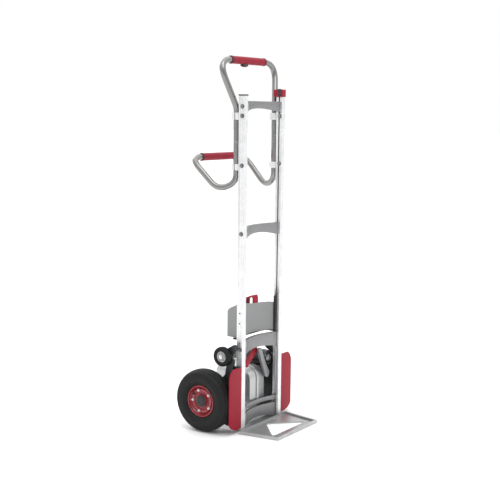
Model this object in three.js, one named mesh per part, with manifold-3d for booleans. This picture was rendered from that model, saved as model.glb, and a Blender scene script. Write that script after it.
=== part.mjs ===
// Powered stair-climbing hand truck: aluminium ladder frame, two handle loops, fixed toe plate, two pneumatic
// wheels, and a battery-driven pair of lifting arms that turn on a hollow shaft around the wheel axle.
// Millimetres, +Z up, -Y is the front where the toe plate lies, +X is the truck's own left side.
import * as THREE from 'three';
import { mergeVertices } from 'three/addons/utils/BufferGeometryUtils.js';
import Module from 'manifold-3d';

const wasm = await Module();
wasm.setup();

// ---------------------------------------------------------------- driving dimensions
const GAP = 0.3; // clearance between touching pieces
const SEG = 24; // sides of a turned piece
const TUBE_SEG = 12; // sides of a handle tube
const WHEEL_SEG = 32; // sides of a main wheel's turned pieces

const RAIL_OUT = 147.5; // outer face of each rail from the middle
const RAIL_WIDE = 25;
const RAIL_DEEP = 29.3;
const RAIL_WALL = 2.6;
const RAIL_FOOT = 6;
const RAIL_TOP = 1373;
const RAIL_IN = RAIL_OUT - RAIL_WIDE;
const CHANNEL = { y: 14, half: 3, deep: 5.4, wall: 1.8 }; // open channel in each rail's inner face

const AXLE_Y = 138.2;
const AXLE_Z = 130;
const AXLE_R = 10;
const AXLE_END = 240.8;
const SLEEVE_R = 15;
const SLEEVE_END = 168;

const TYRE_R = 130;
const TYRE_MID = 216.7; // middle plane of each main wheel
const TYRE_HALF = 41;
const RIM_R = 66;
const BEARING_R = 21;

const ARM_IN = 156.5;
const ARM_OUT = 167.5;
const ARM_WHEEL_Y = 74;
const ARM_WHEEL_Z = 315;
const ARM_WHEEL_R = 41;
const ARM_WHEEL_IN = 168.5;
const ARM_WHEEL_OUT = 194.5;
const ARM_PIN_R = 6;
const ARM_HUB_R = 22.5;

const TOE_FRONT = -183.5;
const TOE_BACK = -5.6;
const TOE_HALF_FRONT = 150.7;
const TOE_HALF_BACK = 176.4;
const TOE_THICK = 5;
const TOE_RIM = 13.3;

const TUBE_R = 12.5;
const TUBE_X = 136;
const TUBE_Y = 46;
const TUBE_JOIN = 1190; // height where the two handle tubes meet inside one line
const GRIP_R = 15.5;
const GRIP_HALF = 119;
const UPPER_GRIP = { y: 92, z: 1516.2, corner: 205 };
const LOWER_GRIP = { y: 237.9, z: 1122.8, corner: 190 };

const BATTERY_HALF = 116;
const BATTERY_FRONT = 24;
const BATTERY_BACK = 102;
const BATTERY_FOOT = 385;
const BATTERY_TOP = 516; // front edge of the lid, at the middle
const BATTERY_LEAN = 0.095; // slope of the lid towards the left side
const BATTERY_WALL = 3.5;
const HANDLE_X = [5, 42];
const GUIDE_TOP = 533;

const BOW = 27; // how far the crossbars bow back in plan
const CROSSBARS = [
  { name: 'upper_crossbar', top: 1353, middle: 29, end: 41 },
  { name: 'middle_crossbar', top: 848.7, middle: 35, end: 49 },
  { name: 'lower_crossbar', top: 377, middle: 51, end: 60 },
  { name: 'base_crossbar', top: 67, middle: 46, end: 60 },
];

const BASE_BAR = { foot: 80, top: 98, thick: 5 }; // second bar of the base crossbar

const GEARBOX = { x0: -30, x1: 75, y0: 42, y1: 218, z0: 52, z1: 250, drop: 17, shoulder: [112, 150], split: 22 };
const GEARBOX_WALL = 4;
const GEAR_MODULE = 4; // coarse module of the drawn teeth
const DRIVE_GEAR = { teeth: 36, x0: 8, x1: 34 };
const PINION = { teeth: 11 };
const LAYSHAFT_Y = 175.6;
const LAYSHAFT_Z = 217.5;
const LAYSHAFT_R = 8;
const MOTOR_X = 114;
const MOTOR_Z = 258.5;
const MOTOR_R = 32;
const MOTOR_FRONT = 46;
const MOTOR_BACK = 141;
const WORM_R = 9;
const WORM_WHEEL_R = 31;

const REAR = Math.max(AXLE_Y + TYRE_R, LOWER_GRIP.y + GRIP_R);
const CENTRE_Y = (TOE_FRONT + REAR) / 2;

// ---------------------------------------------------------------- materials
const paint = (color, roughness, metalness) => new THREE.MeshStandardMaterial({ color, roughness, metalness });
const FINISH = {
  rail: () => paint(0xd9dbda, 0.38, 0.85),
  cast: () => paint(0x8f9092, 0.55, 0.7),
  plate: () => paint(0xa9acad, 0.45, 0.8),
  tube: () => paint(0x77787a, 0.35, 0.8),
  steel: () => paint(0xa0a2a4, 0.3, 1),
  arm: () => paint(0x3b3e41, 0.55, 0.3),
  red: () => paint(0xa33038, 0.42, 0),
  rim: () => paint(0x8e1d28, 0.35, 0.2),
  black: () => paint(0x1d1e20, 0.6, 0),
  tyre: () => paint(0x17191a, 0.85, 0),
  battery: () => paint(0x8c8d8e, 0.6, 0),
  brass: () => paint(0xb08a45, 0.35, 0.9),
};

const truck = new THREE.Group();
truck.position.y = -CENTRE_Y;

function add(name, solid, finish) {
  const mesh = new THREE.Mesh(solid.isBufferGeometry ? solid : toGeometry(solid), FINISH[finish]());
  mesh.name = name;
  truck.add(mesh);
}

// ---------------------------------------------------------------- solids
function toSolid(geometry) {
  const bare = geometry.clone();
  bare.deleteAttribute('normal');
  bare.deleteAttribute('uv');
  const merged = mergeVertices(bare, 1e-4);
  return new wasm.Manifold(
    new wasm.Mesh({
      numProp: 3,
      vertProperties: new Float32Array(merged.attributes.position.array),
      triVerts: new Uint32Array(merged.index.array),
    }),
  );
}

function toGeometry(solid) {
  const mesh = solid.getMesh();
  const geometry = new THREE.BufferGeometry();
  const points = new Float32Array(mesh.numVert * 3);
  for (let i = 0; i < mesh.numVert; i += 1) {
    for (let k = 0; k < 3; k += 1) points[3 * i + k] = mesh.vertProperties[i * mesh.numProp + k];
  }
  geometry.setAttribute('position', new THREE.BufferAttribute(points, 3));
  geometry.setIndex(new THREE.BufferAttribute(new Uint32Array(mesh.triVerts), 1));
  geometry.computeVertexNormals();
  return geometry;
}

const join = (...solids) => solids.reduce((a, b) => a.add(b));
const cut = (solid, ...tools) => tools.reduce((a, b) => a.subtract(b), solid);

function block(x0, x1, y0, y1, z0, z1) {
  const geometry = new THREE.BoxGeometry(x1 - x0, y1 - y0, z1 - z0);
  geometry.translate((x0 + x1) / 2, (y0 + y1) / 2, (z0 + z1) / 2);
  return toSolid(geometry);
}

// A flat outline pushed along one axis. Along x the outline is (y, z), along y it is (x, z), along z it is (x, y).
function prism(outline, axis, from, to, curveSegments = 5) {
  const isShape = outline instanceof THREE.Shape;
  const shape = isShape ? outline : new THREE.Shape(outline.map(([u, v]) => new THREE.Vector2(u, v)));
  const geometry = new THREE.ExtrudeGeometry(shape, { depth: to - from, bevelEnabled: false, curveSegments });
  geometry.translate(0, 0, from);
  const turn = new THREE.Matrix4();
  if (axis === 'x') turn.set(0, 0, 1, 0, 1, 0, 0, 0, 0, 1, 0, 0, 0, 0, 0, 1);
  if (axis === 'y') turn.set(1, 0, 0, 0, 0, 0, -1, from + to, 0, 1, 0, 0, 0, 0, 0, 1);
  geometry.applyMatrix4(turn);
  return toSolid(geometry);
}

// A turned piece on an axis along x through (y, z): the profile is a closed list of [distance along x, radius].
function turned(profile, y, z, sides = SEG) {
  const geometry = new THREE.LatheGeometry(profile.map(([x, r]) => new THREE.Vector2(r, x)), sides);
  geometry.applyMatrix4(new THREE.Matrix4().set(0, 1, 0, 0, 1, 0, 0, y, 0, 0, 1, z, 0, 0, 0, 1));
  const solid = toSolid(geometry);
  return solid.volume() > 0 ? solid : toSolid(flipped(geometry));
}

function flipped(geometry) {
  const index = geometry.index.array;
  for (let i = 0; i < index.length; i += 3) {
    const keep = index[i];
    index[i] = index[i + 1];
    index[i + 1] = keep;
  }
  return geometry;
}

function rod(axis, radius, from, to, u, v, sides = SEG) {
  const geometry = new THREE.CylinderGeometry(radius, radius, to - from, sides);
  geometry.translate(0, (from + to) / 2, 0);
  if (axis === 'x') {
    geometry.rotateZ(-Math.PI / 2);
    geometry.translate(0, u, v);
  }
  if (axis === 'y') geometry.translate(u, 0, v);
  if (axis === 'z') {
    geometry.rotateX(Math.PI / 2);
    geometry.translate(u, v, 0);
  }
  return toSolid(geometry);
}

// Radius of a faceted hole that clears a faceted pin of the given radius at any angle.
const bore = (radius, sides = SEG) => (radius + GAP) / Math.cos(Math.PI / sides);

function roundedRect(u0, u1, v0, v1, r) {
  const shape = new THREE.Shape();
  shape.moveTo(u0 + r, v0);
  shape.lineTo(u1 - r, v0);
  shape.absarc(u1 - r, v0 + r, r, -Math.PI / 2, 0);
  shape.lineTo(u1, v1 - r);
  shape.absarc(u1 - r, v1 - r, r, 0, Math.PI / 2);
  shape.lineTo(u0 + r, v1);
  shape.absarc(u0 + r, v1 - r, r, Math.PI / 2, Math.PI);
  shape.lineTo(u0, v0 + r);
  shape.absarc(u0 + r, v0 + r, r, Math.PI, 1.5 * Math.PI);
  return shape;
}

// A bar with round ends between two points of an outline plane.
function link(axis, from, to, a, b, radius) {
  const [u0, v0] = a;
  const [u1, v1] = b;
  const lean = Math.atan2(v1 - v0, u1 - u0);
  const shape = new THREE.Shape();
  shape.absarc(u1, v1, radius[1], lean - Math.PI / 2, lean + Math.PI / 2);
  shape.absarc(u0, v0, radius[0], lean + Math.PI / 2, lean + 1.5 * Math.PI);
  shape.closePath();
  return prism(shape, axis, from, to);
}

// A line through corner points with each corner rounded, starting trim before it and ending trim after it.
function bentPath(corners, trims) {
  const path = new THREE.CurvePath();
  let start = corners[0];
  for (let i = 1; i < corners.length - 1; i += 1) {
    const corner = corners[i];
    const before = corner.clone().lerp(corners[i - 1], trims[i - 1] / corner.distanceTo(corners[i - 1]));
    const after = corner.clone().lerp(corners[i + 1], trims[i - 1] / corner.distanceTo(corners[i + 1]));
    path.add(new THREE.LineCurve3(start, before));
    path.add(new THREE.QuadraticBezierCurve3(before, corner, after));
    start = after;
  }
  path.add(new THREE.LineCurve3(start, corners[corners.length - 1]));
  return path;
}

function pipe(path, radius, steps, sides = TUBE_SEG) {
  const ring = new THREE.Shape();
  for (let i = 0; i < sides; i += 1) {
    const a = (2 * Math.PI * i) / sides;
    if (i === 0) ring.moveTo(radius, 0);
    else ring.lineTo(radius * Math.cos(a), radius * Math.sin(a));
  }
  ring.closePath();
  return toSolid(new THREE.ExtrudeGeometry(ring, { steps, bevelEnabled: false, extrudePath: path }));
}

const mirrored = (points) => points.map(([x, y, z]) => new THREE.Vector3(-x, y, z)).reverse();
const SIDES = [
  ['right', -1],
  ['left', 1],
];

// Runs a maker with its x range on one side of the truck.
const span = (side, from, to) => (side > 0 ? [from, to] : [-to, -from]);

// ---------------------------------------------------------------- frame
function rail(side) {
  const [x0, x1] = span(side, RAIL_IN, RAIL_OUT);
  const shape = roundedRect(x0, x1, 0, RAIL_DEEP, 1.5);
  const inner = side > 0 ? x0 : x1;
  const into = (depth) => inner + side * depth;
  const web = CHANNEL.half + CHANNEL.wall;
  const inside = new THREE.Path();
  inside.moveTo(into(RAIL_WALL), RAIL_WALL);
  inside.lineTo(into(RAIL_WALL), CHANNEL.y - web);
  inside.lineTo(into(CHANNEL.deep + CHANNEL.wall), CHANNEL.y - web);
  inside.lineTo(into(CHANNEL.deep + CHANNEL.wall), CHANNEL.y + web);
  inside.lineTo(into(RAIL_WALL), CHANNEL.y + web);
  inside.lineTo(into(RAIL_WALL), RAIL_DEEP - RAIL_WALL);
  inside.lineTo(into(RAIL_WIDE - RAIL_WALL), RAIL_DEEP - RAIL_WALL);
  inside.lineTo(into(RAIL_WIDE - RAIL_WALL), RAIL_WALL);
  inside.closePath();
  shape.holes.push(inside);
  const [g0, g1] = span(side, RAIL_IN - 1, RAIL_IN + CHANNEL.deep);
  return cut(
    prism(shape, 'z', RAIL_FOOT, RAIL_TOP, 2),
    block(g0, g1, CHANNEL.y - CHANNEL.half, CHANNEL.y + CHANNEL.half, RAIL_FOOT - 1, RAIL_TOP + 1),
  );
}

// Plan arc of a crossbar's front face, pushed back by an offset.
function bowPoint(t, offset) {
  const half = RAIL_IN - GAP;
  const radius = (half * half + BOW * BOW) / (2 * BOW);
  const reach = Math.asin(half / radius) * t;
  return [(radius - offset) * Math.sin(reach), 4 + BOW - radius + (radius - offset) * Math.cos(reach) + offset];
}

function crossbar({ top, middle, end }) {
  const wall = 7;
  const steps = 14;
  const outline = [];
  for (let i = 0; i <= steps; i += 1) outline.push(bowPoint(-1 + (2 * i) / steps, 0));
  for (let i = steps; i >= 0; i -= 1) {
    const [x, y] = bowPoint(-1 + (2 * i) / steps, 0);
    outline.push([x, y + wall]);
  }
  const arch = new THREE.Shape();
  const reach = RAIL_IN - 14;
  arch.moveTo(-reach, top - end - 1);
  arch.lineTo(reach, top - end - 1);
  arch.lineTo(reach, top - end);
  arch.quadraticCurveTo(0, top - 2 * middle + end, -reach, top - end);
  const lip = prism(outline, 'z', top - 5, top);
  const web = cut(prism(outline, 'z', top - end, top), prism(arch, 'y', -20, 80, 10));
  const ledge = outline.map(([x, y], i) => [x, i > steps ? y + 7 : y]);
  const ends = SIDES.map(([, side]) => {
    const [x0, x1] = span(side, RAIL_IN - 8, RAIL_IN - GAP);
    return block(x0, x1, 2, 26, top - end, top);
  });
  return join(web, lip, prism(ledge, 'z', top - 5, top), ...ends);
}

// The base crossbar carries a second, slimmer bar above its web.
function baseCrossbar(bar) {
  const outline = [];
  const steps = 14;
  for (let i = 0; i <= steps; i += 1) outline.push(bowPoint(-1 + (2 * i) / steps, 0));
  for (let i = steps; i >= 0; i -= 1) {
    const [x, y] = bowPoint(-1 + (2 * i) / steps, 0);
    outline.push([x, y + BASE_BAR.thick]);
  }
  const posts = SIDES.map(([, side]) => {
    const [x0, x1] = span(side, RAIL_IN - 10, RAIL_IN - GAP);
    return block(x0, x1, 3, 25, bar.top - 2, BASE_BAR.top);
  });
  return join(crossbar(bar), prism(outline, 'z', BASE_BAR.foot, BASE_BAR.top), ...posts);
}

function guard(side) {
  const inner = RAIL_OUT + GAP;
  const outer = 229;
  const shape = new THREE.Shape();
  shape.moveTo(side * inner, 17);
  shape.lineTo(side * (inner + 22), 15);
  shape.quadraticCurveTo(side * (outer - 16), 17, side * outer, 44);
  shape.lineTo(side * outer, 234);
  shape.quadraticCurveTo(side * (outer - 3), 260, side * (outer - 26), 274);
  shape.lineTo(side * (inner + 8), 274);
  shape.quadraticCurveTo(side * inner, 274, side * inner, 266);
  shape.closePath();
  return prism(shape, 'y', 1.5, 7.5);
}

function axlePlate(side) {
  const [x0, x1] = span(side, RAIL_OUT + 0.6, RAIL_OUT + 6.6);
  const shape = new THREE.Shape();
  shape.moveTo(7.8, 16);
  shape.lineTo(70, 16);
  shape.quadraticCurveTo(125, 26, 172, 108);
  shape.absarc(AXLE_Y, AXLE_Z, 40, -0.55, 1.1);
  shape.lineTo(88, 224);
  shape.lineTo(35, 275);
  shape.lineTo(7.8, 275);
  shape.closePath();
  const plate = prism(shape, 'x', x0, x1);
  const [f0, f1] = span(side, RAIL_OUT + 0.6, 190);
  const flange = cut(
    block(f0, f1, 7.8, 7.9 + 3, 34, 258),
    block(...span(side, 178, 191), 7, 12, 240, 259),
  );
  return cut(join(plate, flange), rod('x', bore(20), x0 - 1, x1 + 1, AXLE_Y, AXLE_Z));
}

function toePlate() {
  const outline = (inset) => [
    [-TOE_HALF_FRONT + inset, TOE_FRONT + inset],
    [TOE_HALF_FRONT - inset, TOE_FRONT + inset],
    [TOE_HALF_BACK - inset, TOE_BACK],
    [-TOE_HALF_BACK + inset, TOE_BACK],
  ];
  const opening = new THREE.Shape();
  opening.moveTo(-100, -141);
  opening.quadraticCurveTo(-124, -141, -112, -127);
  opening.lineTo(-13, -34);
  opening.quadraticCurveTo(0, -24, 13, -34);
  opening.lineTo(112, -127);
  opening.quadraticCurveTo(124, -141, 100, -141);
  opening.closePath();
  const floor = prism(outline(0), 'z', 0, TOE_THICK);
  const rim = cut(prism(outline(0), 'z', 0, TOE_RIM), prism(outline(9), 'z', -1, TOE_RIM + 1));
  const lip = block(-TOE_HALF_BACK, TOE_HALF_BACK, TOE_BACK - 4, TOE_BACK, 0, TOE_RIM);
  const tongue = block(-RAIL_OUT, RAIL_OUT, TOE_BACK - 2, 44, 0, TOE_THICK);
  return cut(join(floor, rim, lip, tongue), prism(opening, 'z', -1, TOE_THICK + 1));
}

// ---------------------------------------------------------------- handles
// A handle loop from the corner points and bend trims of its left half, listed from the grip down.
function handleTube(half, trims, steps) {
  const corners = [...mirrored(half), ...half.map((point) => new THREE.Vector3(...point))];
  return pipe(bentPath(corners, [...trims].reverse().concat(trims)), TUBE_R, steps);
}

function grip({ y, z }) {
  const ring = (r) => rod('x', r, -GRIP_HALF, GRIP_HALF, y, z);
  const ends = SIDES.map(([, side]) => {
    const [x0, x1] = span(side, GRIP_HALF - 7, GRIP_HALF);
    return rod('x', GRIP_R + 1, x0, x1, y, z);
  });
  return cut(join(ring(GRIP_R), ...ends), rod('x', bore(TUBE_R, TUBE_SEG), -GRIP_HALF - 1, GRIP_HALF + 1, y, z));
}

function clamp(side, z0, z1) {
  const [x0, x1] = span(side, RAIL_IN - 0.5, RAIL_OUT + 1.5);
  const body = prism(roundedRect(x0, x1, RAIL_DEEP + GAP, TUBE_Y + TUBE_R + 4.5, 5), 'z', z0, z1, 3);
  return cut(body, rod('z', bore(TUBE_R, TUBE_SEG), z0 - 1, z1 + 1, side * TUBE_X, TUBE_Y));
}

// ---------------------------------------------------------------- main wheels
function mainWheel(name, side) {
  const at = (x) => side * (TYRE_MID + x);
  const loop = (points) => [...points, points[0]].map(([x, r]) => [at(x), r]);
  const tyre = [
    [-28, RIM_R + 1],
    [-38, 78],
    [-TYRE_HALF, 95],
    [-38, 112],
    [-30, 123],
    [-16, 129],
    [0, TYRE_R],
    [16, 129],
    [30, 123],
    [38, 112],
    [TYRE_HALF, 95],
    [38, 78],
    [28, RIM_R + 1],
  ];
  add(`${name}_tyre`, turned(loop(tyre), AXLE_Y, AXLE_Z, WHEEL_SEG), 'tyre');
  const rim = [
    [-30, RIM_R - 5],
    [-28, RIM_R + 0.6],
    [28, RIM_R + 0.6],
    [30, RIM_R - 5],
    [26, RIM_R - 5],
    [22, RIM_R - 10],
    [20, 50],
    [20, 27],
    [24, 25],
    [24, BEARING_R + GAP],
    [-14, BEARING_R + GAP],
    [-14, 27],
    [14, 27],
    [14, 50],
    [12, RIM_R - 8],
    [-24, RIM_R - 8],
    [-26, RIM_R - 5],
  ];
  add(`${name}_rim`, turned(loop(rim), AXLE_Y, AXLE_Z, WHEEL_SEG), 'rim');
  const bearing = [
    [-14, bore(AXLE_R)],
    [-14, BEARING_R],
    [22, BEARING_R],
    [22, bore(AXLE_R)],
  ];
  add(`${name}_wheel_bearing`, turned(loop(bearing), AXLE_Y, AXLE_Z, WHEEL_SEG), 'steel');
  const cap = [
    [24.4, 0],
    [24.4, 24],
    [28, 23],
    [30, 18],
    [31, 0],
  ];
  add(`${name}_hub_cap`, turned(cap.map(([x, r]) => [at(x), r]), AXLE_Y, AXLE_Z, WHEEL_SEG), 'black');
}

// ---------------------------------------------------------------- lifting arms
function liftArm(side) {
  const [x0, x1] = span(side, ARM_IN, ARM_OUT);
  const bar = (a, b, ra, rb) => link('x', x0, x1, a, b, [ra, rb]);
  const body = join(
    bar([AXLE_Y, AXLE_Z], [56, 228], 30, 17),
    bar([56, 228], [45, 294], 17, 17),
    bar([45, 294], [ARM_WHEEL_Y, ARM_WHEEL_Z], 17, 26),
    bar([62, 322], [28, 353], 22, 13),
  );
  return cut(
    body,
    rod('x', SLEEVE_R + GAP, x0 - 1, x1 + 1, AXLE_Y, AXLE_Z),
    rod('x', ARM_PIN_R + GAP, x0 - 1, x1 + 1, ARM_WHEEL_Y, ARM_WHEEL_Z),
  );
}

function supportWheel(name, side) {
  const loop = (points) => [...points, points[0]].map(([x, r]) => [side * x, r]);
  const tyre = [
    [ARM_WHEEL_IN + 1, ARM_HUB_R + 0.7],
    [ARM_WHEEL_IN + 1, ARM_WHEEL_R - 4],
    [ARM_WHEEL_IN + 5, ARM_WHEEL_R],
    [ARM_WHEEL_OUT - 5, ARM_WHEEL_R],
    [ARM_WHEEL_OUT - 1, ARM_WHEEL_R - 4],
    [ARM_WHEEL_OUT - 1, ARM_HUB_R + 0.7],
  ];
  const hub = [
    [ARM_WHEEL_IN, bore(ARM_PIN_R)],
    [ARM_WHEEL_IN, 14],
    [ARM_WHEEL_IN + 4, ARM_HUB_R],
    [ARM_WHEEL_OUT - 4, ARM_HUB_R],
    [ARM_WHEEL_OUT - 4, ARM_HUB_R - 3],
    [ARM_WHEEL_OUT - 8, ARM_HUB_R - 4.5],
    [ARM_WHEEL_OUT - 8, 12],
    [ARM_WHEEL_OUT - 2, 12],
    [ARM_WHEEL_OUT - 2, bore(ARM_PIN_R)],
  ];
  const pin = [
    [ARM_IN - 4, 0],
    [ARM_IN - 4, 8.5],
    [ARM_IN - GAP, 8.5],
    [ARM_IN - GAP, ARM_PIN_R],
    [ARM_WHEEL_OUT - 1.6, ARM_PIN_R],
    [ARM_WHEEL_OUT - 1.6, 10],
    [ARM_WHEEL_OUT + 2, 9],
    [ARM_WHEEL_OUT + 2, 0],
  ];
  add(`${name}_support_tyre`, turned(loop(tyre), ARM_WHEEL_Y, ARM_WHEEL_Z), 'tyre');
  add(`${name}_support_hub`, turned(loop(hub), ARM_WHEEL_Y, ARM_WHEEL_Z), 'battery');
  add(`${name}_support_pin`, turned(pin.map(([x, r]) => [side * x, r]), ARM_WHEEL_Y, ARM_WHEEL_Z), 'steel');
}

// ---------------------------------------------------------------- drive unit
function gearOutline(teeth, y, z, turn) {
  const pitch = (teeth * GEAR_MODULE) / 2;
  const tip = pitch - GAP / 2;
  const root = pitch - 3.4;
  const points = [];
  for (let i = 0; i < teeth; i += 1) {
    for (const [part, r] of [
      [0, root],
      [0.3, root],
      [0.45, tip],
      [0.8, tip],
    ]) {
      const a = turn + (2 * Math.PI * (i + part)) / teeth;
      points.push([y + r * Math.cos(a), z + r * Math.sin(a)]);
    }
  }
  return points;
}

// The gearbox's outer skin grown outwards by an amount, or shrunk by a negative one.
function gearboxSkin(grow) {
  const { x0, x1, y0, y1, z0, z1, drop, shoulder } = GEARBOX;
  const front = prism(roundedRect(x0 - grow, x1 + grow, z0 - grow, z1 + grow, 46 + grow), 'y', 0, 240);
  const corner = 46;
  const shape = new THREE.Shape();
  shape.moveTo(y0 + corner, z0 - grow);
  shape.lineTo(y1 - corner, z0 - grow);
  shape.absarc(y1 - corner, z0 + corner, corner + grow, -Math.PI / 2, 0);
  shape.lineTo(y1 + grow, z1 - corner);
  shape.absarc(y1 - corner, z1 - corner, corner + grow, 0, Math.PI / 2);
  shape.lineTo(shoulder[1], z1 + grow);
  shape.lineTo(shoulder[0], z1 - drop + grow);
  shape.lineTo(y0 + corner, z1 - drop + grow);
  shape.absarc(y0 + corner, z1 - drop - corner, corner + grow, Math.PI / 2, Math.PI);
  shape.lineTo(y0 - grow, z0 + corner);
  shape.absarc(y0 + corner, z0 + corner, corner + grow, Math.PI, 1.5 * Math.PI);
  const side = prism(shape, 'x', -60, 100);
  return front.intersect(side);
}

function gearboxHalf(x0, x1) {
  const slab = block(x0, x1, 0, 240, 0, 300);
  const shell = gearboxSkin(0).subtract(gearboxSkin(-GEARBOX_WALL));
  const [f0, f1] = x0 < 0 ? [GEARBOX.split - 6, x1] : [x0, GEARBOX.split + 6];
  const flange = cut(gearboxSkin(5).intersect(block(f0, f1, 0, 240, 0, 300)), gearboxSkin(-GEARBOX_WALL));
  return cut(
    join(shell.intersect(slab), flange),
    rod('x', bore(SLEEVE_R + 1), -80, 120, AXLE_Y, AXLE_Z),
    rod('x', bore(LAYSHAFT_R + 1), x0 < 0 ? -20 : 40, 120, LAYSHAFT_Y, LAYSHAFT_Z),
  );
}

function layshaft() {
  const pinion = prism(gearOutline(PINION.teeth, LAYSHAFT_Y, LAYSHAFT_Z, 0.1), 'x', DRIVE_GEAR.x0, DRIVE_GEAR.x1);
  const shaft = rod('x', LAYSHAFT_R, -18, MOTOR_X + 12, LAYSHAFT_Y, LAYSHAFT_Z);
  const wheel = rod('x', WORM_WHEEL_R, MOTOR_X - 7, MOTOR_X + 7, LAYSHAFT_Y, LAYSHAFT_Z);
  return join(pinion, shaft, wheel);
}

function motorRotor() {
  const worm = rod('y', WORM_R, LAYSHAFT_Y - 20, LAYSHAFT_Y + 20, MOTOR_X, MOTOR_Z, 24);
  const shaft = rod('y', 5, MOTOR_FRONT + 8, LAYSHAFT_Y + 26, MOTOR_X, MOTOR_Z, 24);
  const armature = rod('y', 22, MOTOR_FRONT + 16, MOTOR_BACK - 14, MOTOR_X, MOTOR_Z, 24);
  return join(worm, shaft, armature);
}

function wormCase() {
  const box = prism(roundedRect(MOTOR_X - 25, MOTOR_X + 27, 178, MOTOR_Z + 22, 10), 'y', MOTOR_BACK + GAP, 210, 3);
  const inside = prism(roundedRect(MOTOR_X - 22, MOTOR_X + 24, 181, MOTOR_Z + 19, 8), 'y', MOTOR_BACK + 3, 215, 3);
  const reach = [GEARBOX.x1 - 10, MOTOR_X - 23];
  const neck = rod('x', LAYSHAFT_R + 8, ...reach, LAYSHAFT_Y, LAYSHAFT_Z).subtract(gearboxSkin(GAP));
  return cut(
    join(box, neck),
    inside,
    rod('y', 8, MOTOR_BACK - 9, MOTOR_BACK + 9, MOTOR_X, MOTOR_Z),
    rod('x', bore(LAYSHAFT_R + 1), GEARBOX.x1 - 15, MOTOR_X - 14, LAYSHAFT_Y, LAYSHAFT_Z),
  );
}

// ---------------------------------------------------------------- battery
function batteryPlan(inset) {
  const half = BATTERY_HALF - inset;
  const front = BATTERY_FRONT + inset;
  const shape = new THREE.Shape();
  shape.moveTo(-half, front);
  shape.quadraticCurveTo(0, front + 2 * BOW, half, front);
  shape.lineTo(half, BATTERY_BACK - inset - 6);
  shape.quadraticCurveTo(half, BATTERY_BACK - inset, half - 6, BATTERY_BACK - inset);
  shape.lineTo(-half + 6, BATTERY_BACK - inset);
  shape.quadraticCurveTo(-half, BATTERY_BACK - inset, -half, BATTERY_BACK - inset - 6);
  shape.closePath();
  return shape;
}

function batteryBlock(inset, z0) {
  const top = BATTERY_TOP - inset;
  const side = [
    [0, z0 - 60],
    [120, z0 - 60],
    [120, top - 48],
    [BATTERY_BACK, top - 36],
    [90, top - 22],
    [46, top],
    [0, top],
  ];
  const lid = toGeometry(prism(side, 'x', -150, 150));
  lid.translate(0, 0, -BATTERY_TOP);
  lid.rotateY(BATTERY_LEAN);
  lid.translate(0, 0, BATTERY_TOP);
  return prism(batteryPlan(inset), 'z', z0, BATTERY_TOP + 40, 10).intersect(toSolid(lid));
}

// A strap that stands on the front and on the back of the case's lid.
function batteryHandle() {
  const strap = new THREE.Shape();
  strap.moveTo(53, 495);
  strap.lineTo(53, 528);
  strap.quadraticCurveTo(53, 548, 67, 543);
  strap.lineTo(89, 534);
  strap.quadraticCurveTo(101, 529, 101, 514);
  strap.lineTo(101, 460);
  strap.lineTo(95, 460);
  strap.lineTo(95, 513);
  strap.quadraticCurveTo(95, 525, 86, 528.4);
  strap.lineTo(68, 536);
  strap.quadraticCurveTo(59, 539, 59, 527);
  strap.lineTo(59, 495);
  strap.closePath();
  return prism(strap, 'x', HANDLE_X[0], HANDLE_X[1]).subtract(batteryBlock(-GAP, 300));
}

function batteryGuide(side) {
  const [x0, x1] = span(side, RAIL_IN - 9, RAIL_IN - GAP);
  const strip = block(x0, x1, 11.5, BATTERY_FRONT - GAP, 377.3, GUIDE_TOP);
  const foot = block(x0, x1, 11.5, 66, 377.3, BATTERY_FOOT - GAP);
  return join(strip, foot);
}

// ---------------------------------------------------------------- assembly
for (const [name, side] of SIDES) {
  add(`${name}_rail`, rail(side), 'rail');
  add(`${name}_guard`, guard(side), 'red');
  add(`${name}_axle_plate`, axlePlate(side), 'black');
  const [b0, b1] = span(side, RAIL_OUT - 1.4, RAIL_OUT + 9);
  add(
    `${name}_shaft_bush`,
    cut(rod('x', 20, b0, b1, AXLE_Y, AXLE_Z), rod('x', bore(SLEEVE_R), b0 - 1, b1 + 1, AXLE_Y, AXLE_Z)),
    'brass',
  );
  for (const [level, z0, z1] of [
    ['upper', 1278, 1306],
    ['lower', 1077, 1102],
  ]) {
    add(`${name}_${level}_clamp`, clamp(side, z0, z1), 'rail');
  }
  mainWheel(name, side);
  add(`${name}_lift_arm`, liftArm(side), 'arm');
  supportWheel(name, side);
  add(`${name}_battery_guide`, batteryGuide(side), 'black');
}
for (const bar of CROSSBARS) {
  const make = bar.name === 'base_crossbar' ? baseCrossbar : crossbar;
  add(bar.name, make(bar), 'cast');
}
add('toe_plate', toePlate(), 'plate');

const upperHalf = [
  [UPPER_GRIP.corner, UPPER_GRIP.y, UPPER_GRIP.z],
  [TUBE_X, TUBE_Y, 1325],
  [TUBE_X, TUBE_Y, TUBE_JOIN],
];
add('upper_handle_tube', handleTube(upperHalf, [88, 18], 40), 'tube');
const lowerHalf = [
  [LOWER_GRIP.corner, LOWER_GRIP.y, LOWER_GRIP.z],
  [170.9, 109.1, 993.3],
  [TUBE_X, TUBE_Y, 1030.3],
  [TUBE_X, TUBE_Y, TUBE_JOIN - GAP],
];
add('lower_handle_tube', handleTube(lowerHalf, [65, 48, 30.8], 48), 'tube');
add('upper_grip', grip(UPPER_GRIP), 'red');
add('lower_grip', grip(LOWER_GRIP), 'red');

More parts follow.
